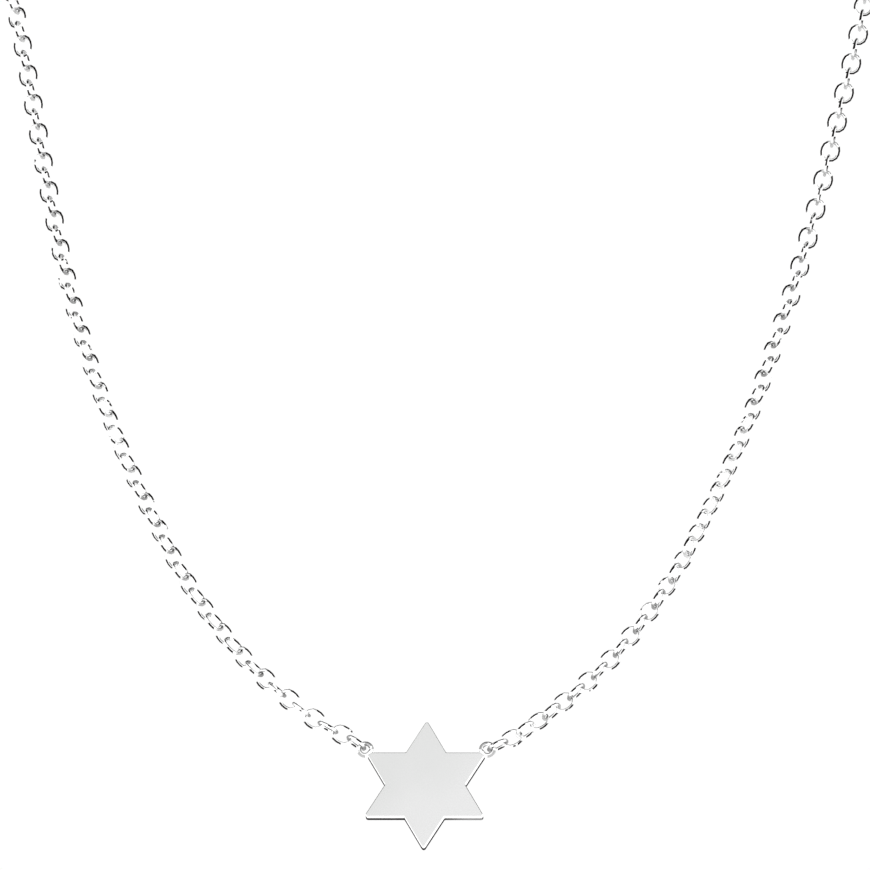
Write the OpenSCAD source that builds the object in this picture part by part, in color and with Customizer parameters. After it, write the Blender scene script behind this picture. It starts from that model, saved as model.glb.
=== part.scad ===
// Six-pointed star on a fine oval link chain, in the form that it takes when worn.
// +Z is up and the star faces -Y. The origin is the middle of the nape, at the clasp.

/* [Star] */
// Width of the star over its rounded side points
star_width = 13; // [11:0.1:16]
// Thickness of the star
star_thickness = 1.1; // [0.9:0.05:1.4]
// Radius that rounds the six points
point_radius = 0.25; // [0.1:0.05:0.4]
// Width of the small chamfer round both faces
edge_chamfer = 0.08; // [0.04:0.01:0.12]
// Turn of the star about the upright, with its right side to the front
star_turn = 4; // [0:1:15]

/* [Eyelets] */
// Diameter of the wire of the soldered eyelets
eyelet_wire = 0.52; // [0.4:0.02:0.6]
// Room round the link's wire in an eyelet
eyelet_play = 0.25; // [0.2:0.01:0.3]
// How far an eyelet's centre stands past the sharp tip of its point
eyelet_reach = 0.3; // [0.2:0.02:0.36]
// How far round from the line of its point an eyelet sits, upward, in degrees
eyelet_lift = 2.4; // [0:0.2:4]
// Depth of an eyelet's middle behind the star's front face
eyelet_depth = 0.3; // [0.28:0.01:0.5]
// Overlap of the star and the eyelet that is soldered to it
solder_bite = 0.15; // [0.1:0.01:0.2]

/* [Chain] */
// Width of a link over its wire
link_width = 2.18; // [2:0.02:2.6]
// Diameter of a link's wire
link_wire = 0.36; // [0.3:0.01:0.4]
// Spacing of the links
link_pitch = 1.8; // [1.7:0.01:2]
// Clear gap between wires that pull on each other
link_gap = 0.12; // [0.11:0.01:0.15]

/* [Clasp] */
// Diameter of the clasp's ring over its tube
clasp_width = 5; // [4.5:0.1:6]
// Diameter of the clasp's tube
clasp_tube = 0.9; // [0.7:0.05:1]
// Place of the clasp's ring across the nape, to the right of its middle
clasp_middle = -0.35; // [-1:0.05:1]

/* [Wear] */
// Lean of the front of the necklace from the upright
front_lean = 23.5; // [15:0.5:30]
// Height of the nape above the middle of the star
star_drop = 106; // [100:1:112]
// Distance from the nape forward to the middle of the star
star_forward = 96.5; // [90:0.5:102]
// Width of the loop at the sides of the neck
neck_width = 100; // [96:1:106]
// Distance from the nape forward to the widest place of the loop
neck_depth = 46; // [42:1:50]
// Fall of the loop from the nape to its widest place
neck_fall = 6; // [2:1:10]
// How far the chain rounds out where it goes over from the chest to the neck
shoulder_round = 2; // [1:0.5:4]

/* [Hidden] */
silver = [0.86, 0.87, 0.88];

// Where each strand lies on the slope of the chest, chosen by eye: distance across from
// the middle of the star, and distance up the slope, in millimetres
left_route = [[-12.6, 8.1], [-19.6, 14.7], [-25.6, 23.1], [-30.2, 32.3], [-34.1, 41.6],
              [-37.4, 51.6], [-40.0, 62.0], [-42.2, 73.6], [-44.0, 84.5], [-45.6, 93.5]];
right_route = [[12.6, 7.6], [20.0, 14.4], [26.5, 23.3], [31.4, 33.0], [35.3, 42.3],
               [38.5, 52.0], [41.4, 61.6], [43.9, 71.4], [46.2, 81.6], [48.9, 94.3]];
// Angles from the level at which the strands leave their eyelets
left_lead = 44;
right_lead = 22;
// Places round the neck that each strand passes, as angles from its widest place to the nape
neck_angles = [5, 22, 39, 56, 73];

// Slow twist of each strand: number of a link from the star, and its turn in degrees
left_twist = [[0, 0], [5, -20], [10, -50], [22, -38], [26, -52], [32, -35], [41, -22],
              [48, -17], [58, -32]];
right_twist = [[0, 0], [2, -20], [7, 0], [12, -8], [20, -32], [28, -50], [38, -72],
               [46, -90], [58, -92]];

// Outline of the star: the sharp tip of a point, and where an eyelet sits on it
side_point = 30;
eyelet_way = side_point + eyelet_lift;
tip_reach = (star_width/2 - point_radius)/cos(side_point) + 2*point_radius;
point_steps = 6;
eyelet_centre = tip_reach + eyelet_reach;
eyelet_bore = link_wire + 2*eyelet_play;
eyelet_ring = (eyelet_bore + eyelet_wire)/2;
eyelet_outer = eyelet_ring + eyelet_wire/2;

// A link, along its own centreline
link_length = link_pitch + 2*link_wire + link_gap;
link_bend = (link_width - link_wire)/2;
link_side = link_length - link_width;
link_half = (link_length - link_wire)/2;

// Where the wire of an end link lies in an eyelet, and in the clasp's ring. The gap is a
// little wider than between links, as an end link may lean to its ring.
ring_gap = 1.2*link_gap;
eyelet_hook = eyelet_bore/2 - link_wire/2 - ring_gap;
clasp_ring = (clasp_width - clasp_tube)/2;
clasp_hook = clasp_ring - clasp_tube/2 - link_wire/2 - ring_gap;

// The clasp's eye, soldered to its ring
clasp_eye = clasp_width/2 + eyelet_outer - 0.7*eyelet_wire;

smooth_steps = 16;
wire_fn = 32;

// Directions on the slope of the chest, and the middle of the star on it
slope_up = [0, sin(front_lean), cos(front_lean)];
slope_out = [0, -cos(front_lean), sin(front_lean)];
star_middle = [0, -star_forward, -star_drop];
nape_up = [0, 0, 1];

function unit(v) = v/norm(v);

function on_slope(p) = star_middle + [p[0], 0, 0] + p[1]*slope_up;

// A point round the neck, at an angle from the widest place on one side to the nape
function round_neck(side, a) =
    [side*neck_width/2*cos(a), -neck_depth*(1 - sin(a)), -neck_fall*(1 - sin(a))];

// Where the chain goes over from the chest to the neck
function shoulder(side, last) =
    (on_slope(last) + round_neck(side, neck_angles[0]))/2 + shoulder_round*[0, -0.6, 0.8];

// The middle of an eyelet's hole, which turns with the star
function eyelet_place(side) =
    let (across = side*eyelet_centre*cos(eyelet_way), up = eyelet_centre*sin(eyelet_way),
         flat = [across, 0, 0] + up*slope_up - eyelet_depth*slope_out)
    star_middle + [flat[0]*cos(star_turn) + flat[1]*sin(star_turn),
                   flat[1]*cos(star_turn) - flat[0]*sin(star_turn), flat[2]];

// A smooth curve from b to c that heads the way of its neighbours a and d
function between(a, b, c, d, t) =
    (2*b + (c - a)*t + (2*a - 5*b + 4*c - d)*t*t + (3*b - a - 3*c + d)*t*t*t)/2;

// Fine points of the curve through all but the first and last points of a list
function smooth(p) = [
    for (i = [1:len(p) - 3], k = [0:smooth_steps - 1])
        between(p[i - 1], p[i], p[i + 1], p[i + 2], k/smooth_steps),
    p[len(p) - 2]];

// The whole run of a strand, from the middle of its eyelet to the nape
function strand_curve(side, route, lead) =
    let (eyelet = eyelet_place(side), first = on_slope(route[0]),
         off = [side*cos(lead), 0, 0] + sin(lead)*slope_up)
    smooth([first - 2*norm(first - eyelet)*off, eyelet, for (p = route) on_slope(p),
            shoulder(side, route[len(route) - 1]), for (a = neck_angles) round_neck(side, a),
            [0, 0, 0], round_neck(-side, neck_angles[len(neck_angles) - 1])]);

// Distance along a curve to each of its points
function run_lengths(c) = [
    for (i = 0, s = 0; i < len(c);
         s = s + (i + 1 < len(c) ? norm(c[i + 1] - c[i]) : 0), i = i + 1) s];

// The point of a curve at a distance along it
function at_run(c, run, s) = [
    for (axis = [0:2]) lookup(s, [for (i = [0:len(c) - 1]) [run[i], c[i][axis]]])];

// What is left of a direction once it is made square to the way of the chain
function carried(v, way) = unit(v - (v*way)*way);

// The turn of the last link that lays it across the clasp's ring, nearest to the turn before
function last_turn(count, side_up, way, before) =
    let (wanted = atan2(cross(side_up, nape_up)*way, side_up*nape_up) - 90*count - before + 90)
    before + wanted - 180*floor(wanted/180) - 90;

// Each link of a strand: its middle, the way of the chain there and the normal of its flat
function strand_links(side, route, lead, twist) =
    let (c = strand_curve(side, route, lead), run = run_lengths(c),
         start = eyelet_hook + link_half,
         finish = run[len(run) - 1] - strand_end(side),
         steps = round((finish - start)/link_pitch),
         step = (finish - start)/steps,
         middles = [for (i = [0:steps]) at_run(c, run, start + i*step)],
         ways = [for (i = [0:steps])
             unit(at_run(c, run, start + (i + 0.5)*step) - at_run(c, run, start + (i - 0.5)*step))],
         outs = [for (i = 0, v = carried(slope_out, ways[0]); i <= steps;
                      i = i + 1, v = carried(v, ways[min(i, steps)])) v],
         top = twist[len(twist) - 1],
         turns = concat(twist,
             [[steps, last_turn(steps + 1, outs[steps], ways[steps], top[1])]]))
    [for (i = [0:steps])
        let (turn = 90*(i + 1) + lookup(i, turns))
        [middles[i], ways[i], outs[i]*cos(turn) + cross(ways[i], outs[i])*sin(turn)]];

// Distance from the nape to the middle of a strand's last link
function strand_end(side) =
    side < 0 ? clasp_hook + link_half - clasp_middle
             : clasp_eye + eyelet_hook + link_half + clasp_middle;

// Outline of the star, drawn in by an inset
function star_outline(inset) =
    let (tip = tip_reach - 2*inset, r = point_radius - inset)
    [for (point = [0:5]) let (way = 90 + 60*point) each concat(
        [for (k = [0:point_steps])
            let (a = way - 60 + 120*k/point_steps)
            (tip_reach - 2*point_radius)*[cos(way), sin(way)] + r*[cos(a), sin(a)]],
        [tip/sqrt(3)*[cos(way + 30), sin(way + 30)]])];

// The star plate, chamfered round both faces: front at y = 0, back at y = star_thickness
module star_plate() {
    depths = [0, edge_chamfer, star_thickness - edge_chamfer, star_thickness];
    insets = [edge_chamfer, 0, 0, edge_chamfer];
    count = len(star_outline(0));
    rows = [for (i = [0:3]) for (p = star_outline(insets[i])) [p[0], depths[i], p[1]]];
    middles = [[0, 0, 0], [0, star_thickness, 0]];
    walls = [for (i = [0:2], k = [0:count - 1])
        [i*count + k, i*count + (k + 1) % count, (i + 1)*count + (k + 1) % count, (i + 1)*count + k]];
    front = [for (k = [0:count - 1]) [4*count, (k + 1) % count, k]];
    back = [for (k = [0:count - 1]) [4*count + 1, 3*count + k, 3*count + (k + 1) % count]];
    polyhedron(points = concat(rows, middles), faces = concat(walls, front, back), convexity = 4);
}

// A ring of round wire in the plane of the star
module wire_ring(radius, wire) {
    rotate([90, 0, 0])
        rotate_extrude($fn = 64) translate([radius, 0]) circle(d = wire, $fn = wire_fn);
}

module star() {
    color(silver)
        translate(star_middle) rotate([0, 0, -star_turn]) rotate([-front_lean, 0, 0])
            union() {
                difference() {
                    star_plate();
                    for (side = [-1, 1]) at_eyelet(side) solder_seat();
                }
                for (side = [-1, 1]) at_eyelet(side) wire_ring(eyelet_ring, eyelet_wire);
            }
}

// The round hollow in the tip of a point that an eyelet is soldered into
module solder_seat() {
    rotate([90, 0, 0])
        cylinder(r = eyelet_outer - solder_bite, h = 3*star_thickness, center = true, $fn = 64);
}

module at_eyelet(side) {
    translate([side*eyelet_centre*cos(eyelet_way), eyelet_depth, eyelet_centre*sin(eyelet_way)])
        children();
}

// One oval link, its length along X and its flat facing Z
module link() {
    union() {
        for (end = [-1, 1]) {
            translate([end*link_side/2, 0, 0]) rotate([0, 0, -90*end])
                rotate_extrude(angle = 180, $fn = 48)
                    translate([link_bend, 0]) circle(d = link_wire, $fn = wire_fn);
            translate([0, end*link_bend, 0]) rotate([0, 90, 0])
                cylinder(d = link_wire, h = link_side, center = true, $fn = wire_fn);
        }
    }
}

module strand(side, route, lead, twist) {
    color(silver)
        for (place = strand_links(side, route, lead, twist)) {
            middle = place[0];
            way = place[1];
            flat = place[2];
            across = cross(flat, way);
            multmatrix([[way[0], across[0], flat[0], middle[0]],
                        [way[1], across[1], flat[1], middle[1]],
                        [way[2], across[2], flat[2], middle[2]]])
                link();
        }
}

module chain_left() { strand(-1, left_route, left_lead, left_twist); }
module chain_right() { strand(1, right_route, right_lead, right_twist); }

// The clasp: a closed ring that the left strand holds, with an eye for the right strand
module clasp() {
    color(silver)
        union() {
            translate([clasp_middle, 0, 0]) wire_ring(clasp_ring, clasp_tube);
            translate([clasp_middle + clasp_eye, 0, 0]) wire_ring(eyelet_ring, eyelet_wire);
        }
}

star();
chain_left();
chain_right();
clasp();
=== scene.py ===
# %% [markdown]
# The star of david pendant: a flat polished star that hangs between the two halves of a fine
# oval link chain. The necklace keeps the form that it takes on a neck, and is held at the nape.
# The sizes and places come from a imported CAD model, which loads first as a fixed frame. This
# script gives every piece its finished surface, sets the light and places the camera.

# %% Load the frame
import math
import bmesh
import bpy
import numpy as np
from mathutils import Matrix, Vector


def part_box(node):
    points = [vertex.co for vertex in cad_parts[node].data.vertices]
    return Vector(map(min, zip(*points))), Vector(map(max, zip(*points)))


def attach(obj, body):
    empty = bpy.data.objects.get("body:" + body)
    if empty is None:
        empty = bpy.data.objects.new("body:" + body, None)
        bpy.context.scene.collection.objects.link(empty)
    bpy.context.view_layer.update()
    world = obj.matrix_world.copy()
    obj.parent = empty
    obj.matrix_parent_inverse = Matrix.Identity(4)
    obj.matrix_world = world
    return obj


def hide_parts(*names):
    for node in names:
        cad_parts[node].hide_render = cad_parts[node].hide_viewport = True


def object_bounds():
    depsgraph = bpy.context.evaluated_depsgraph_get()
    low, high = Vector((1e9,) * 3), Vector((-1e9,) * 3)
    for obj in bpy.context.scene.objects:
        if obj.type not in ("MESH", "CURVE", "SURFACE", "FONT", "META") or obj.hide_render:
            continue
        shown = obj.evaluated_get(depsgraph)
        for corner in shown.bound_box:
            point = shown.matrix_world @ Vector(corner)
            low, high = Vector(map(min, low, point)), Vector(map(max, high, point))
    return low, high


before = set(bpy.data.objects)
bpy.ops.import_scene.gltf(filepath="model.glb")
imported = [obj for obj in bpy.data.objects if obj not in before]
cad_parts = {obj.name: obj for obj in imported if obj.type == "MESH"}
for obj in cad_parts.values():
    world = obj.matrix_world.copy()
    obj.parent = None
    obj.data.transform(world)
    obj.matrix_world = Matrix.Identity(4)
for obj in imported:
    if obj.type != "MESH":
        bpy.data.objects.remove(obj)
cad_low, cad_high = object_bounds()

MM = 0.001
print("CAD box in mm:", [round(v / MM, 1) for v in (*cad_low, *cad_high)])
print("CAD nodes:", sorted(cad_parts))

# %% [markdown]
# Node trees are hard to read as lists of links, so a tree is written as arithmetic here. A Wire
# stands for one output socket, and adding or multiplying two wires adds a Math node. Any other
# node comes from one method, Tree.add, which sets the node's own settings first and then its
# sockets. The same two classes serve materials, the world and geometry.

# %% Write node trees as expressions
class Wire:
    """One output socket of a tree, which can be used in sums."""

    def __init__(self, tree, socket):
        self.tree = tree
        self.socket = socket

    def math(self, operation, *others):
        """A Math node whose first value is this one."""
        values = dict(enumerate([self, *others]))
        return self.tree.add("ShaderNodeMath", {"operation": operation}, values)

    def __add__(self, other):
        return self.math("ADD", other)

    def __radd__(self, other):
        return self.math("ADD", other)

    def __mul__(self, other):
        return self.math("MULTIPLY", other)

    def __rmul__(self, other):
        return self.math("MULTIPLY", other)

    def __sub__(self, other):
        return self.math("SUBTRACT", other)

    def __rsub__(self, other):
        return (self * -1) + other

    def __truediv__(self, other):
        return self.math("DIVIDE", other)

    def step(self, low, high):
        """0 below low, 1 above high, and a smooth rise between; high may be the smaller one."""
        settings = {"interpolation_type": "SMOOTHSTEP"}
        values = {"Value": self, "From Min": low, "From Max": high}
        if low > high:
            values = {"Value": self, "From Min": high, "From Max": low, "To Min": 1, "To Max": 0}
        return self.tree.add("ShaderNodeMapRange", settings, values)


class Tree:
    """A node tree that is built one call at a time."""

    def __init__(self, tree):
        self.tree = tree

    def add(self, kind, settings=None, values=None, out=0):
        """A new node; what comes back is the output that is asked for, or the first one."""
        node = self.tree.nodes.new(kind)
        for name, setting in (settings or {}).items():
            setattr(node, name, setting)
        for name, value in (values or {}).items():
            if isinstance(value, Wire):
                self.tree.links.new(value.socket, node.inputs[name])
            else:
                node.inputs[name].default_value = value
        return Wire(self, node.outputs[out]) if node.outputs else None

    def others(self, wire, *names):
        """More outputs of the node that a wire comes from."""
        return [Wire(self, wire.socket.node.outputs[name]) for name in names]


print("Node trees are ready")

# %% [markdown]
# The photograph was taken from far away, level, and straight at the star: nine of its pixels
# make a millimetre at the star and nearly as much at the top. A camera four metres off with a
# very long lens does the same. Where it looks is worked out from the star's place in the room
# and in the picture, so that the framing follows from sizes. Only the last half percent was
# found by laying the render over the photograph.

# %% Place the camera
PIXEL = MM / 9
PICTURE = 870
STAR_MIDDLE = Vector((0, -96.5, -106)) * MM
STAR_PIXEL = (425.1, 782.2)
CAMERA_DISTANCE = 3.9
SEES_UP_TO = 20
SENSOR = 36
ENLARGED = 1.0063

camera_data = bpy.data.cameras.new("camera")
camera_data.sensor_width = SENSOR
camera_data.lens = SENSOR * CAMERA_DISTANCE / (PICTURE * PIXEL) * ENLARGED
camera_data.clip_end = SEES_UP_TO
camera = bpy.data.objects.new("camera", camera_data)
bpy.context.scene.collection.objects.link(camera)
bpy.context.scene.camera = camera
aim = STAR_MIDDLE + Vector((PICTURE / 2 - STAR_PIXEL[0], 0,
                            STAR_PIXEL[1] - PICTURE / 2)) * PIXEL
camera.location = aim - Vector((0, CAMERA_DISTANCE, 0))
camera.rotation_euler = (math.radians(90), 0, 0)
print("Camera lens in mm:", round(camera_data.lens))

# %% [markdown]
# Polished silver has almost no colour of its own: it shows the room. The photograph is of the
# bright kind that shops use, where the room is a white tent and the silver nearly melts into
# it. Two places in the tent are darker. The star's face looks up at a slightly darker panel in
# front. Above and behind the jewel the tent is open, and every edge that rolls away from the
# camera at the top mirrors that gap, which draws thin dark lines.
#
# The camera doesn't see the tent, but a plain backdrop: white behind the jewel, as in the
# photograph, and a pale grey to the sides and behind the camera, so that bright silver stands
# out from every side. Each place is a cone: a direction, and the angles where it starts to
# fade and has faded.

# %% Light the studio
TENT = 1.2
PANEL = {"toward": (-0.13, -0.67, 0.73), "fade": (20, 34), "shade": 1.118}
GAP = {"toward": (0, 0.42, 0.91), "fade": (40, 48), "shade": 0.01}
GREY_BACKDROP = 0.6
WHITE_BACKDROP = {"toward": (0, 1, 0), "fade": (8, 16), "shade": 1.02}
WHITE = (1, 1, 1, 1)

world = bpy.data.worlds.new("studio")
world.use_nodes = True
world.node_tree.nodes.clear()
bpy.context.scene.world = world
studio = Tree(world.node_tree)
way = studio.add("ShaderNodeTexCoord")


def put_in(room, cone):
    """The room, with the shade of a cone of directions in its place."""
    axis = Vector(cone["toward"]).normalized()
    cosine = studio.add("ShaderNodeVectorMath", {"operation": "DOT_PRODUCT"}, {0: way, 1: axis},
                        out="Value")
    full, gone = (math.cos(math.radians(angle)) for angle in cone["fade"])
    mask = cosine.step(gone, full)
    return mask * cone["shade"] + (1 - mask) * room


mirrored = put_in(put_in(TENT, GAP), PANEL)
seen = put_in(GREY_BACKDROP, WHITE_BACKDROP)
by_camera = studio.add("ShaderNodeLightPath", out="Is Camera Ray")
strength = mirrored * (1 - by_camera) + seen * by_camera
light = studio.add("ShaderNodeBackground", {}, {"Color": WHITE, "Strength": strength})
studio.add("ShaderNodeOutputWorld", {}, {"Surface": light})
bpy.context.scene.view_settings.view_transform = "Standard"
bpy.context.scene.view_settings.look = "None"
print("Tent, panel and gap shine with", TENT, PANEL["shade"], GAP["shade"])

# %% [markdown]
# The floor is a pale sheet a little below the star, lit from below as a light table is, so
# that the walls of the star, which mirror it, stay white. Its edge would show as a line against
# the backdrop, and from below it would hide the star, so the camera sees only what the silver
# mirrors of it. It is stage, not part of the object.

# %% Lay the floor
FLOOR_GAP = 12 * MM
FLOOR_SIZE = 0.56
FLOOR_FORWARD = 0.05
FLOOR_GLOW = 0.75
FLOOR_ROUGHNESS = 0.9
PALE = (0.96, 0.96, 0.96, 1)

floor_mesh = bpy.data.meshes.new("floor")
half = FLOOR_SIZE / 2
corners = [(x * half, y * half - FLOOR_FORWARD, cad_low.z - FLOOR_GAP)
           for x, y in ((-1, -1), (1, -1), (1, 1), (-1, 1))]
floor_mesh.from_pydata(corners, [], [(0, 1, 2, 3)])
floor = bpy.data.objects.new("floor", floor_mesh)
bpy.context.scene.collection.objects.link(floor)
floor_paint = bpy.data.materials.new("floor_paint")
floor_paint.use_nodes = True
floor_paint.node_tree.nodes.clear()
paint = Tree(floor_paint.node_tree)
sheet = paint.add("ShaderNodeBsdfPrincipled", {}, {
    "Base Color": PALE, "Roughness": FLOOR_ROUGHNESS,
    "Emission Color": WHITE, "Emission Strength": FLOOR_GLOW})
paint.add("ShaderNodeOutputMaterial", {}, {"Surface": sheet})
floor_mesh.materials.append(floor_paint)
floor.visible_camera = False
print("Floor lies", round(FLOOR_GAP / MM, 1), "mm below the star")

# %% [markdown]
# The silver is one recipe with a few dials. Four things break up its mirror: a very faint
# mottling of the polish, fine hairlines from the cloth, a thin film that dulls it evenly, and
# painted shade: dark marks drawn into the colour where shade and dark reflections fall. Where
# they lie differs from piece to piece, so the recipe takes the darkening, which on the star is a
# painted shade gradient, the painted shade and the film as functions, which add their own nodes
# to the tree. Noise nodes give values round a half, so taking a half away leaves what varies and
# keeps the average.

# %% Write the silver recipe
SILVER = (0.956, 0.957, 0.957, 1)
# Darker silver that random mottle, and on the star a painted shade gradient, mix toward.
DARKENED_SILVER = (0.889, 0.895, 0.889, 1)
# The colour of painted shade and painted dark reflections.
SHADE_COLOR = (0.012, 0.01, 0.01, 1)
FILM = (0.66, 0.66, 0.66, 1)
MOTTLE = {"scale": 130, "detail": 3, "darkening": 1.2, "roughness": 0.05}
HAIRLINES = {"scale": 900, "detail": 2, "depth": 0.01 * MM, "roughness": 0.04}
HAIRLINE_TURN = (0.3, 0.5, 0.9)
DRAWN_OUT = (1, 14, 14)
SHADE_ROUGHNESS = 0.55


def no_film(tree, place):
    """Wire is too thin to show a film."""
    return 0


def along_axis(tree, vector, axis):
    """How far a vector reaches along an axis."""
    return tree.add("ShaderNodeVectorMath", {"operation": "DOT_PRODUCT"}, {0: vector, 1: axis},
                    out="Value")


def right_and_up(tree, vector):
    """How far a vector reaches to the right, and how far up."""
    return tree.others(tree.add("ShaderNodeSeparateXYZ", {}, {"Vector": vector}), "X", "Z")


def facing(tree):
    """The way that the surface faces."""
    return tree.add("ShaderNodeNewGeometry", out="Normal")


def noise(tree, place, kind):
    """Soft random values, with the scale and the detail of their kind."""
    return tree.add("ShaderNodeTexNoise", {}, {
        "Vector": place, "Scale": kind["scale"], "Detail": kind["detail"]})


def mix(tree, share, first, second, blend="MIX"):
    """Two colours mixed. A Mix node keeps sockets for every kind of value, and its colours are
    inputs 6 and 7 and output 2."""
    return tree.add("ShaderNodeMix", {"data_type": "RGBA", "blend_type": blend},
                    {"Factor": share, 6: first, 7: second}, out=2)


def silver(name, roughness, hairline, darkening, painted_shade, film=no_film):
    """A polished silver. The last three, given a tree and a place, say how far it darkens, where
    shade and dark reflections are painted into its colour, and how dull it is."""
    material = bpy.data.materials.new(name)
    material.use_nodes = True
    material.node_tree.nodes.clear()
    tree = Tree(material.node_tree)
    place = tree.add("ShaderNodeTexCoord", out="Object")
    mottle = noise(tree, place, MOTTLE)
    stretched = tree.add("ShaderNodeMapping", {}, {
        "Vector": place, "Rotation": HAIRLINE_TURN, "Scale": DRAWN_OUT})
    lines = noise(tree, stretched, HAIRLINES)
    mask = painted_shade(tree, place)
    # The darkening: random mottle, plus on the star a painted shade gradient.
    darkened = (darkening(tree, place) + (mottle - 0.5) * MOTTLE["darkening"]).step(0, 1)
    clean = mix(tree, darkened, SILVER, DARKENED_SILVER)
    dull = mix(tree, film(tree, place), clean, FILM, "MULTIPLY")
    # The mask paints shade and dark reflections into the colour.
    color = mix(tree, mask, dull, SHADE_COLOR)
    rough = (roughness + (mottle - 0.5) * MOTTLE["roughness"]
             + (lines - 0.5) * HAIRLINES["roughness"] + mask * SHADE_ROUGHNESS)
    bump = tree.add("ShaderNodeBump", {}, {
        "Strength": hairline, "Distance": HAIRLINES["depth"], "Height": lines})
    shader = tree.add("ShaderNodeBsdfPrincipled", {}, {
        "Base Color": color, "Metallic": 1, "Roughness": rough, "Normal": bump})
    tree.add("ShaderNodeOutputMaterial", {}, {"Surface": shader})
    return material


print("Silver recipe is ready")

# %% [markdown]
# The star is sawn from flat plate: two equal triangles laid over each other, with its points
# rounded a little. The outline is worked out from the width alone, one point of the star at a
# time. The tips of the two upper side points are hollowed, because an eyelet is soldered into
# each. The star hangs with its top leaning back, as on a chest, and turned a little to the left.

# %% Work out the star's outline
STAR_WIDTH = 13 * MM
STAR_THICKNESS = 1.1 * MM
POINT_RADIUS = 0.25 * MM
LEAN = math.radians(23.5)
TURN = math.radians(4)
WIRE = 0.36 * MM
EYELET_WIRE = 0.52 * MM
EYELET_PLAY = 0.5 * MM
EYELET_DEPTH = 0.3 * MM
EYELET_OUT = 0.3 * MM
EYELET_UP = math.radians(2.4)
SOLDER_BITE = 0.15 * MM
SIDE_POINT = math.radians(30)
POINT_SPACING = math.radians(60)

tip_reach = (STAR_WIDTH / 2 - POINT_RADIUS) / math.cos(SIDE_POINT) + 2 * POINT_RADIUS
notch_reach = tip_reach / math.sqrt(3)
eyelet_ring = (WIRE + EYELET_PLAY + EYELET_WIRE) / 2
eyelet_way = SIDE_POINT + EYELET_UP
eyelet_reach = tip_reach + EYELET_OUT
seat_radius = eyelet_ring + EYELET_WIRE / 2 - SOLDER_BITE
star_place = (Matrix.Translation(STAR_MIDDLE) @ Matrix.Rotation(-TURN, 4, "Z")
              @ Matrix.Rotation(-LEAN, 4, "X"))


def ray(angle, length):
    """A vector in the plane of the plate, by its angle and its length."""
    return Vector((math.cos(angle), math.sin(angle))) * length


def eyelet_middle(side):
    """The middle of the left or the right eyelet, in the plane of the plate."""
    middle = ray(eyelet_way, eyelet_reach)
    return Vector((side * middle.x, middle.y))


def seat_arc(tip, before, after, middle, steps=14):
    """The hollow round an eyelet, from the edge before the tip to the edge after it. Each end is
    where the edge, a line from its notch, first meets the hollow's circle."""
    ends = []
    for notch in (before, after):
        run = tip - notch
        a, b = run.length_squared, 2 * run.dot(notch - middle)
        c = (notch - middle).length_squared - seat_radius ** 2
        ends.append(notch + run * (-b - math.sqrt(b * b - 4 * a * c)) / (2 * a) - middle)
    start = math.atan2(ends[0].y, ends[0].x)
    sweep = (math.atan2(ends[1].y, ends[1].x) - start) % (2 * math.pi)
    sweep = sweep - 2 * math.pi if sweep > math.pi else sweep
    return [middle + ray(start + sweep * k / steps, seat_radius) for k in range(steps + 1)]


def round_tip(way, steps=8):
    """The arc that rounds a free point of the star."""
    middle = ray(way, tip_reach - 2 * POINT_RADIUS)
    return [middle + ray(way + (2 * k / steps - 1) * POINT_SPACING, POINT_RADIUS)
            for k in range(steps + 1)]


def star_outline():
    """Tips and notches, from the upper point round by way of the left."""
    eyelets = {1: eyelet_middle(-1), 5: eyelet_middle(1)}
    points = []
    for k in range(6):
        way = math.pi / 2 + k * POINT_SPACING
        before, after = (ray(way + s * POINT_SPACING / 2, notch_reach) for s in (-1, 1))
        if k in eyelets:
            points += seat_arc(ray(way, tip_reach), before, after, eyelets[k])
        else:
            points += round_tip(way)
        points.append(after)
    return points


print("Star outline has", len(star_outline()), "points")
print("From middle to tip in mm:", round(tip_reach / MM, 2))

# %% [markdown]
# A real star isn't equally bright all over. Polishing and handling leave the face with a thin
# even film, and the back, which nobody polishes, keeps the grain of the rolled plate. Painted
# shade lies along the seam where the wall meets the back, and painted dark reflections lie on
# the front edges that face up. The face is also painted a little darker toward its upper left,
# a painted shade gradient. The masks read which way the surface faces and where it lies, so they
# hold from every side. Each pair of numbers below says where a mask is still empty and where it
# is full.

# %% Write the finish of the star
STAR_BACK = star_place.to_3x3() @ Vector((0, 1, 0))
STAR_ROUGHNESS = 0.2
STAR_HAIRLINE = 0.05
# A painted shade gradient across the star's face, darker toward its upper left.
SHADE_ACROSS = Vector((-0.8, 0, 1)) / (11 * MM)
SHADE_MIDDLE = 0.4
FACE_FILM = 0.662
BACK_FILM = 0.85
BACK_GRAIN = {"scale": 220, "detail": 3, "depth": 0.5}
FLAT_SIDE = (0.96, 0.99)
OFF_BACK = (0.9, 0.6)
OFF_WALL = (0, -0.3)
OFF_FACE = (-0.99, -0.93)
# Painted shade along the back rim, and painted dark reflections on the front edges:
REAR_SHADE = (0.36, 0.44)
FACES_LEFT = (-0.2, -0.6)
LEFT_DEEPER = 0.25
FACES_DOWN = (-0.6, -0.8)
RIGHT_HALF = (1 * MM, 5 * MM)
RIGHT_FAINTER = 0.25
FACES_UP = (0.44, 0.56)
FRONT_REFLECTION = 0.6
LOWER_HALF = (3 * MM, -1 * MM)
LOWER_MORE = 0.4


def star_shade_gradient(tree, place):
    """Painted shade: a little darker toward the star's upper left, as the face's reflection
    shades across it.
    """
    return along_axis(tree, place, SHADE_ACROSS) + (SHADE_MIDDLE - STAR_MIDDLE.dot(SHADE_ACROSS))


def facing_back(tree):
    """1 on the back of the star, 0 on its walls, -1 on its face."""
    return along_axis(tree, facing(tree), STAR_BACK)


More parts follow.
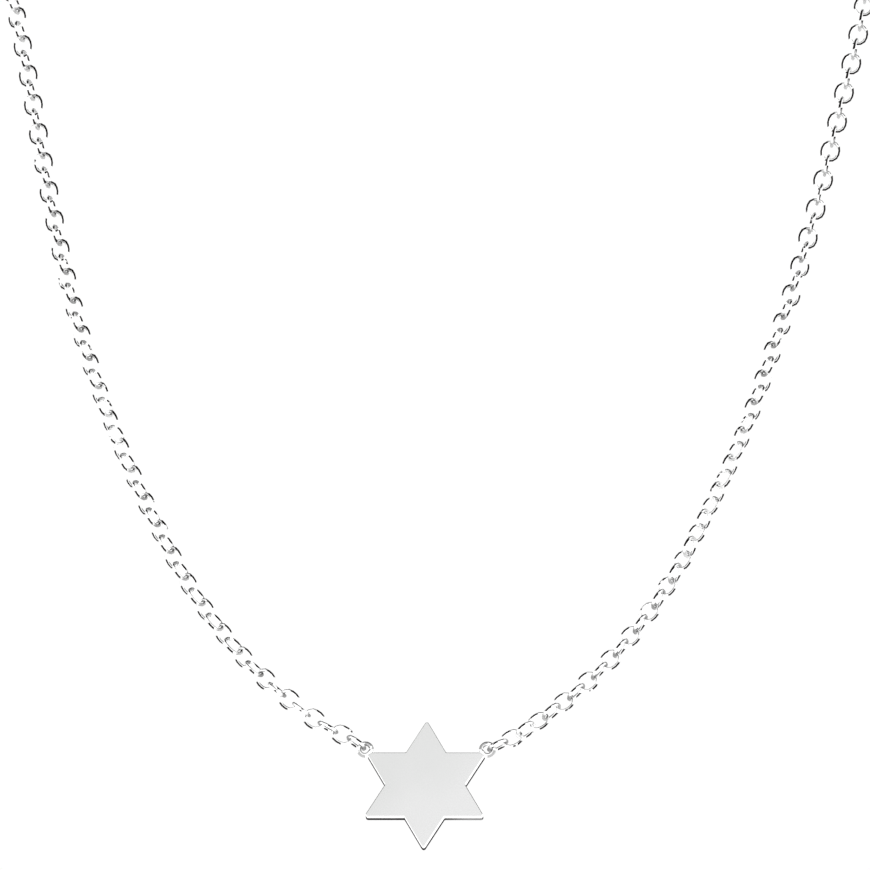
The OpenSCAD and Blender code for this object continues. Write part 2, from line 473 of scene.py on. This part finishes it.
def star_film(tree, place):
    """A thin even film on the face, a thicker one with a rolled grain on the back, and none on
    the walls and the edges."""
    back = facing_back(tree)
    rolled = tree.add("ShaderNodeMapping", {}, {"Vector": place, "Scale": DRAWN_OUT})
    grain = noise(tree, rolled, BACK_GRAIN)
    on_back = back.step(0, 0.5) * (BACK_FILM + (grain - 0.5) * BACK_GRAIN["depth"])
    on_face = back.step(0.5, 0) * FACE_FILM
    return back.math("ABSOLUTE").step(*FLAT_SIDE) * (on_back + on_face)


def star_edge_shade(tree, place):
    """Painted shade where the wall of the star meets its back, deeper on walls that face left and
    fainter under the right point, and painted dark reflections on the front edges that face up."""
    back = facing_back(tree)
    right, up = right_and_up(tree, facing(tree))
    x, z = right_and_up(tree, place)

    depth = (along_axis(tree, place, STAR_BACK) - STAR_MIDDLE.dot(STAR_BACK)) / STAR_THICKNESS
    deeper = right.step(*FACES_LEFT) * LEFT_DEEPER
    fainter_right = up.step(*FACES_DOWN) * x.step(*RIGHT_HALF) * RIGHT_FAINTER
    # Painted shade along the back rim of the walls.
    rear = (depth + deeper).step(*REAR_SHADE) * back.step(*OFF_BACK) * (1 - fainter_right)

    # Painted dark reflections on the front edges that face up.
    on_edge = back.step(*OFF_WALL) * back.step(*OFF_FACE)
    lower = (z - STAR_MIDDLE.z).step(*LOWER_HALF)
    front = on_edge * up.step(*FACES_UP) * (FRONT_REFLECTION + lower * LOWER_MORE)
    return rear.math("MAXIMUM", front)


star_silver = silver("star_silver", STAR_ROUGHNESS, STAR_HAIRLINE, star_shade_gradient, star_edge_shade,
                     star_film)
print("The star's silver has", len(star_silver.node_tree.nodes), "nodes")

# %% [markdown]
# The plate is the outline pushed back by its thickness, as the saw leaves it. A Bevel modifier
# then breaks the edges, since a real edge is never sharp and always catches a line of light.
# Hardened normals keep the face flat up to the bevel.

# %% Make the star
EDGE_BREAK = 0.11 * MM
EDGE_STEPS = 3
EDGE_FROM = math.radians(30)


def new_piece(name, mesh, material, slot, *nodes):
    """Adds a finished piece, which rides on the one body and stands for CAD nodes."""
    piece = bpy.data.objects.new(name, mesh)
    bpy.context.scene.collection.objects.link(piece)
    mesh.materials.clear()
    mesh.materials.append(material)
    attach(piece, "root")
    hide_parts(*nodes)
    print("Made", name, "with", len(mesh.polygons), "faces")
    return piece


def plate_mesh(outline, thickness):
    """A flat outline given a thickness, and set in the star's place."""
    builder = bmesh.new()
    face = builder.faces.new([builder.verts.new((p.x, 0, p.y)) for p in outline])
    grown = bmesh.ops.extrude_face_region(builder, geom=[face])
    moved = [v for v in grown["geom"] if isinstance(v, bmesh.types.BMVert)]
    bmesh.ops.translate(builder, verts=moved, vec=(0, thickness, 0))
    bmesh.ops.recalc_face_normals(builder, faces=builder.faces)
    mesh = bpy.data.meshes.new("plate")
    builder.to_mesh(mesh)
    builder.free()
    mesh.transform(star_place)
    return mesh


star = new_piece("star_plate", plate_mesh(star_outline(), STAR_THICKNESS), star_silver,
                 "star_silver", "star")
star.data.shade_smooth()
edge = star.modifiers.new("edge", "BEVEL")
edge.width = EDGE_BREAK
edge.segments = EDGE_STEPS
edge.limit_method = "ANGLE"
edge.angle_limit = EDGE_FROM
edge.harden_normals = True
edge.use_clamp_overlap = False

# %% [markdown]
# Everything but the star is round wire, and round wire has one finish. Each link of the
# photograph has two short black strokes on the outer half of its wire, one at the top toward the
# middle of the necklace and one at the bottom away from it; they are painted dark reflections,
# drawn into the colour. Links that stand on edge have soft grey ends, painted shade where link
# crosses link. Near the neck the strokes of the links that show their flat grow into almost a
# whole ring.
#
# The strokes need two directions: from the middle of the link to the point, and the way that
# the wire faces there. So each vertex carries its link's middle, how near it is to an end of
# the link, and how much the link shows its flat to the front, and the finish reads them. Pairs
# are again where a mask is empty and where it is full; those of the neck are heights.

# %% Write the finish of the wire
# Black strokes are painted dark reflections; grey ends are painted shade.
STROKE_TOWARD = {"middle": 0.67, "up": 0.74}
STROKE_LENGTH = (0.78, 0.9)
STROKE_WIDTH = (-0.18, 0.06)
STROKE_BREAKS = {"scale": 1300, "detail": 1, "fade": (0.31, 0.38), "fewer_at_neck": 0.1}
STROKE_ENDS = (0.97, 0.8)
STANDING = {"longer": 0.14, "clear_ends": 0.3}
NECK = (-58 * MM, -28 * MM)
NECK_LONGER = 0.1
FLAT_NECK = (-56 * MM, -47 * MM)
SHOWS_FLAT = (0.75, 0.95)
NEARLY_RING = {"longer": 0.5, "wider": 0.06, "closed_low_end": 0.3}
LOW_END = (-0.5, -0.8)
GREY_ENDS = (0.6, 0.9)
GREY_STANDING = (0.75, 0.4)
GREY = {"all": 0.7, "paler_at_neck": 0.2}
RING_SHADE = 0.55
WIRE_WEAR = 0.2
WIRE_ROUGHNESS = 0.13
WIRE_HAIRLINE = 0.03


def wire_painted_shade(tree, place):
    """Painted dark reflections: two black strokes on the outer half of a link's wire; and painted
    shade: grey ends on links that stand.
    """
    end, lying = (tree.add("ShaderNodeAttribute", {"attribute_name": name}, out="Fac")
                  for name in ("toward_end", "lying"))
    middle = tree.add("ShaderNodeAttribute", {"attribute_name": "middle"}, out="Vector")

    def vector(operation, *values):
        return tree.add("ShaderNodeVectorMath", {"operation": operation}, dict(enumerate(values)))

    spoke = vector("MULTIPLY", vector("SUBTRACT", place, middle), (1, 0, 1))
    spoke = vector("NORMALIZE", spoke)
    outward = along_axis(tree, facing(tree), spoke)
    right, up = right_and_up(tree, spoke)
    x, height = right_and_up(tree, place)
    to_middle = x.math("SIGN") * -1
    along = right * to_middle * STROKE_TOWARD["middle"] + up * STROKE_TOWARD["up"]

    standing = 1 - lying
    neck = height.step(*NECK)
    flat = height.step(*FLAT_NECK) * lying.step(*SHOWS_FLAT)
    longer = standing * STANDING["longer"] + neck * NECK_LONGER + flat * NEARLY_RING["longer"]
    length = (along.math("ABSOLUTE") + longer).step(*STROKE_LENGTH)
    width = (outward + flat * NEARLY_RING["wider"]).step(*STROKE_WIDTH)
    breaks = noise(tree, place, STROKE_BREAKS) + neck * STROKE_BREAKS["fewer_at_neck"]
    low_end = up.step(*LOW_END) * flat * NEARLY_RING["closed_low_end"]
    clear = neck * standing * STANDING["clear_ends"]
    ends = (end - low_end + clear).step(*STROKE_ENDS)
    # The black strokes: painted dark reflections.
    black = length * width * breaks.step(*STROKE_BREAKS["fade"]) * ends

    # The grey ends: painted shade where links cross.
    grey = GREY["all"] - neck * GREY["paler_at_neck"]
    return black.math("MAXIMUM", end.step(*GREY_ENDS) * lying.step(*GREY_STANDING) * grey)


def wire_wear(tree, place):
    """The same everywhere, since a link is too small to be worn on one side."""
    return WIRE_WEAR


def ring_painted_shade(tree, place):
    """The links' painted shade and dark reflections, at a little over half strength."""
    return wire_painted_shade(tree, place) * RING_SHADE


def wire_silver(name, painted_shade):
    return silver(name, WIRE_ROUGHNESS, WIRE_HAIRLINE, wire_wear, painted_shade)


chain_silver = wire_silver("chain_silver", wire_painted_shade)
eyelet_silver = wire_silver("eyelet_silver", ring_painted_shade)
clasp_silver = wire_silver("clasp_silver", ring_painted_shade)
print("The chain's silver has", len(chain_silver.node_tree.nodes), "nodes")

# %% [markdown]
# Rings of round wire come up three times: the eyelets, the clasp and its eye. One function
# sweeps a circle round a circle. Its vertices are worked out with numpy, which is quick, exact
# and closed without a seam. Where a ring is soldered to its neighbour the wire swells a little,
# as solder that has run into a joint does.

# %% Make the eyelets
SOLDER_SWELL = 0.3
SOLDER_SPREAD = math.radians(34)
EYELET_LYING = 0.15


def add_numbers(mesh, name, values):
    """Stores one number at each vertex."""
    mesh.attributes.new(name, "FLOAT", "POINT").data.foreach_set("value", values)


def add_vectors(mesh, name, values):
    """Stores one vector at each vertex."""
    flat = np.asarray(values, np.float32).ravel()
    mesh.attributes.new(name, "FLOAT_VECTOR", "POINT").data.foreach_set("vector", flat)


def ring_mesh(name, radius, wire, solder, lying, place, around=64, sides=16):
    """A ring of wire in the XZ plane, set in its place. It is soldered at one angle, and lying
    is how flat the finish takes it to lie."""
    turn = np.arange(around) * 2 * math.pi / around
    roll = np.arange(sides) * 2 * math.pi / sides
    away = (turn - solder + math.pi) % (2 * math.pi) - math.pi
    thick = wire / 2 * (1 + SOLDER_SWELL * np.exp(-(away / SOLDER_SPREAD) ** 2))[:, None]
    reach = radius + thick * np.cos(roll)
    grid = np.stack([reach * np.cos(turn)[:, None], thick * np.sin(roll),
                     reach * np.sin(turn)[:, None]], -1).reshape(-1, 3)
    faces = [(i * sides + k, ((i + 1) % around) * sides + k,
              ((i + 1) % around) * sides + (k + 1) % sides, i * sides + (k + 1) % sides)
             for i in range(around) for k in range(sides)]
    mesh = bpy.data.meshes.new(name)
    mesh.from_pydata(grid.tolist(), [], faces)
    add_numbers(mesh, "toward_end", np.zeros(around * sides))
    add_numbers(mesh, "lying", np.full(around * sides, lying))
    add_vectors(mesh, "middle", np.tile(place.translation, (around * sides, 1)))
    mesh.transform(place)
    mesh.shade_smooth()
    return mesh


for side_name, side_sign in (("left", -1), ("right", 1)):
    middle = eyelet_middle(side_sign)
    place = star_place @ Matrix.Translation((middle.x, EYELET_DEPTH, middle.y))
    joint = math.atan2(-middle.y, -middle.x)
    mesh = ring_mesh("eyelet_" + side_name, eyelet_ring, EYELET_WIRE, joint, EYELET_LYING, place)
    new_piece("eyelet_" + side_name, mesh, eyelet_silver, "star_silver", "star")

# %% [markdown]
# The links are the pieces that repeat, so Geometry Nodes make them. The CAD model knows where
# each link lies, so nothing is laid out again here: its mesh is split into loose parts, and each
# part gives a middle, a long direction and the normal of its flat. Those three are the link's
# place. The surface of a link spreads most along its length and least across its flat, so the
# two directions are the last and the first axis of that spread.

# %% Find where the links lie
SAME_POINT = 1e-7


def islands(node):
    """The corners of a CAD node's triangles, and the number of the loose part each one is in."""
    group = bpy.data.node_groups.new("find_islands", "GeometryNodeTree")
    group.interface.new_socket("Geometry", in_out="INPUT", socket_type="NodeSocketGeometry")
    group.interface.new_socket("Geometry", in_out="OUTPUT", socket_type="NodeSocketGeometry")
    tree = Tree(group)
    shape = tree.add("NodeGroupInput")
    merged = tree.add("GeometryNodeMergeByDistance", {},
                      {"Geometry": shape, "Distance": SAME_POINT})
    number = tree.others(tree.add("GeometryNodeInputMeshIsland"), "Island Index")[0]
    stored = tree.add("GeometryNodeStoreNamedAttribute", {"data_type": "INT", "domain": "POINT"},
                      {"Geometry": merged, "Name": "island", "Value": number})
    tree.add("NodeGroupOutput", {}, {"Geometry": stored})
    finder = bpy.data.objects.new("finder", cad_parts[node].data)
    bpy.context.scene.collection.objects.link(finder)
    finder.modifiers.new("find", "NODES").node_group = group
    graph = bpy.context.evaluated_depsgraph_get()
    mesh = finder.evaluated_get(graph).to_mesh()
    points = np.empty(len(mesh.vertices) * 3)
    mesh.vertices.foreach_get("co", points)
    island = np.empty(len(mesh.vertices), int)
    mesh.attributes["island"].data.foreach_get("value", island)
    mesh.calc_loop_triangles()
    corners = np.empty(len(mesh.loop_triangles) * 3, int)
    mesh.loop_triangles.foreach_get("vertices", corners)
    finder.to_mesh_clear()
    bpy.data.objects.remove(finder)
    bpy.data.node_groups.remove(group)
    corners = corners.reshape(-1, 3)
    return points.reshape(-1, 3)[corners], island[corners[:, 0]]


def link_places(node):
    """Middles, long directions and flat normals of a strand's links."""
    triangles, number = islands(node)
    area = np.linalg.norm(np.cross(triangles[:, 1] - triangles[:, 0],
                                   triangles[:, 2] - triangles[:, 0]), axis=1)
    centre = triangles.mean(1)
    count = number.max() + 1
    total = np.bincount(number, area, count)
    middles = np.stack([np.bincount(number, area * centre[:, k], count) for k in range(3)], -1)
    middles /= total[:, None]
    ways, flats = [], []
    for k in range(count):
        mine = number == k
        offset = centre[mine] - middles[k]
        spread = (offset * area[mine, None]).T @ offset
        axes = np.linalg.eigh(spread)[1]
        flats.append(axes[:, 0])
        ways.append(axes[:, 2])
    return middles, np.array(ways), np.array(flats)


strands = {node: link_places(node) for node in ("chain_left", "chain_right")}
for node, (middles, ways, flats) in strands.items():
    print(node, "has", len(middles), "links")

# %% [markdown]
# One link is an oval of round wire: two half circles joined by short straights. The tree draws
# it from four named sizes, sets one at each place, and turns it by the two directions that the
# places carry. Before the copies are made, each vertex notes how near it is to an end of the
# link, which the silver reads to put grey where links rub.

# %% Build the link tree
LINK_WIDTH = 2.18 * MM
LINK_LENGTH = 2.64 * MM
HALF_STEPS = 6
OVAL_POINTS = 2 * (HALF_STEPS + 1)
WIRE_SIDES = 6


def link_tree(material):
    """A tree that sets a link at each place, and the identifiers of its named inputs."""
    group = bpy.data.node_groups.new("links", "GeometryNodeTree")
    inputs = (("Places", "NodeSocketGeometry"), ("Length", "NodeSocketFloat"),
              ("Width", "NodeSocketFloat"), ("Wire", "NodeSocketFloat"))
    sockets = {name: group.interface.new_socket(name, in_out="INPUT", socket_type=kind)
               for name, kind in inputs}
    group.interface.new_socket("Links", in_out="OUTPUT", socket_type="NodeSocketGeometry")
    tree = Tree(group)
    places = tree.add("NodeGroupInput")
    length, width, wire = tree.others(places, "Length", "Width", "Wire")
    bend = (width - wire) / 2
    side = (length - width) / 2
    index = tree.add("GeometryNodeInputIndex")
    half = (index / (HALF_STEPS + 1)).math("FLOOR")
    angle = ((index - half * (HALF_STEPS + 1)) / HALF_STEPS + half - 0.5) * math.pi
    hub = (1 - half * 2) * side
    spot = tree.add("ShaderNodeCombineXYZ", {}, {"X": angle.math("COSINE") * bend + hub,
                                                 "Y": angle.math("SINE") * bend})
    line = tree.add("GeometryNodeCurvePrimitiveLine")
    line = tree.add("GeometryNodeResampleCurve", {}, {"Curve": line, "Count": OVAL_POINTS})
    oval = tree.add("GeometryNodeSetPosition", {}, {"Geometry": line, "Position": spot})
    oval = tree.add("GeometryNodeSetSplineCyclic", {}, {"Geometry": oval, "Cyclic": True})
    oval = tree.add("GeometryNodeStoreNamedAttribute", {"domain": "POINT"},
                    {"Geometry": oval, "Name": "toward_end",
                     "Value": angle.math("COSINE").math("ABSOLUTE")})
    profile = tree.add("GeometryNodeCurvePrimitiveCircle", {},
                       {"Resolution": WIRE_SIDES, "Radius": wire / 2})
    link = tree.add("GeometryNodeCurveToMesh", {}, {"Curve": oval, "Profile Curve": profile})
    turn = tree.add("FunctionNodeAxesToRotation", {"primary_axis": "X", "secondary_axis": "Z"}, {
        name: tree.add("GeometryNodeInputNamedAttribute", {"data_type": "FLOAT_VECTOR"},
                       {"Name": source})
        for name, source in (("Primary Axis", "way"), ("Secondary Axis", "flat"))})
    links = tree.add("GeometryNodeInstanceOnPoints", {},
                     {"Points": places, "Instance": link, "Rotation": turn})
    links = tree.add("GeometryNodeRealizeInstances", {}, {"Geometry": links})
    links = tree.add("GeometryNodeSetShadeSmooth", {}, {"Geometry": links})
    links = tree.add("GeometryNodeSetMaterial", {}, {"Geometry": links, "Material": material})
    tree.add("NodeGroupOutput", {}, {"Links": links})
    return group, {name: socket.identifier for name, socket in sockets.items()}


print("A link has", OVAL_POINTS * WIRE_SIDES, "faces")

# %% [markdown]
# A strand is the link tree run on a handful of loose points, one for each link, which carry the
# directions. The result is turned into a plain mesh and the points are thrown away, so that
# each strand is one finished piece.

# %% Make the two strands
link_group, link_inputs = link_tree(chain_silver)
for node, (middles, ways, flats) in strands.items():
    seeds = bpy.data.meshes.new(node + "_places")
    seeds.from_pydata(middles.tolist(), [], [])
    for name, values in (("way", ways), ("flat", flats), ("middle", middles)):
        add_vectors(seeds, name, values)
    add_numbers(seeds, "lying", np.abs(flats[:, 1]))
    maker = bpy.data.objects.new(node + "_maker", seeds)
    bpy.context.scene.collection.objects.link(maker)
    modifier = maker.modifiers.new("links", "NODES")
    modifier.node_group = link_group
    for name, value in (("Length", LINK_LENGTH), ("Width", LINK_WIDTH), ("Wire", WIRE)):
        modifier[link_inputs[name]] = value
    evaluated = maker.evaluated_get(bpy.context.evaluated_depsgraph_get())
    mesh = bpy.data.meshes.new_from_object(evaluated)
    bpy.data.objects.remove(maker)
    new_piece(node + "_links", mesh, chain_silver, "chain_silver", node)

# %% [markdown]
# The clasp lies behind the neck, where the photograph doesn't reach. It is a plain closed ring
# with a soldered eye, and the last links pass through the two.

# %% Make the clasp
CLASP_WIDTH = 5 * MM
CLASP_TUBE = 0.9 * MM
clasp_low, clasp_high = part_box("clasp")
clasp_ring = (CLASP_WIDTH - CLASP_TUBE) / 2
ring_middle = clasp_low.x + CLASP_WIDTH / 2
eye_middle = clasp_high.x - eyelet_ring - EYELET_WIRE / 2
for name, x, radius, wire, joint in (
        ("clasp_ring", ring_middle, clasp_ring, CLASP_TUBE, 0),
        ("clasp_eye", eye_middle, eyelet_ring, EYELET_WIRE, math.pi)):
    mesh = ring_mesh(name, radius, wire, joint, 0, Matrix.Translation((x, 0, 0)))
    new_piece(name, mesh, clasp_silver, "clasp_silver", "clasp")
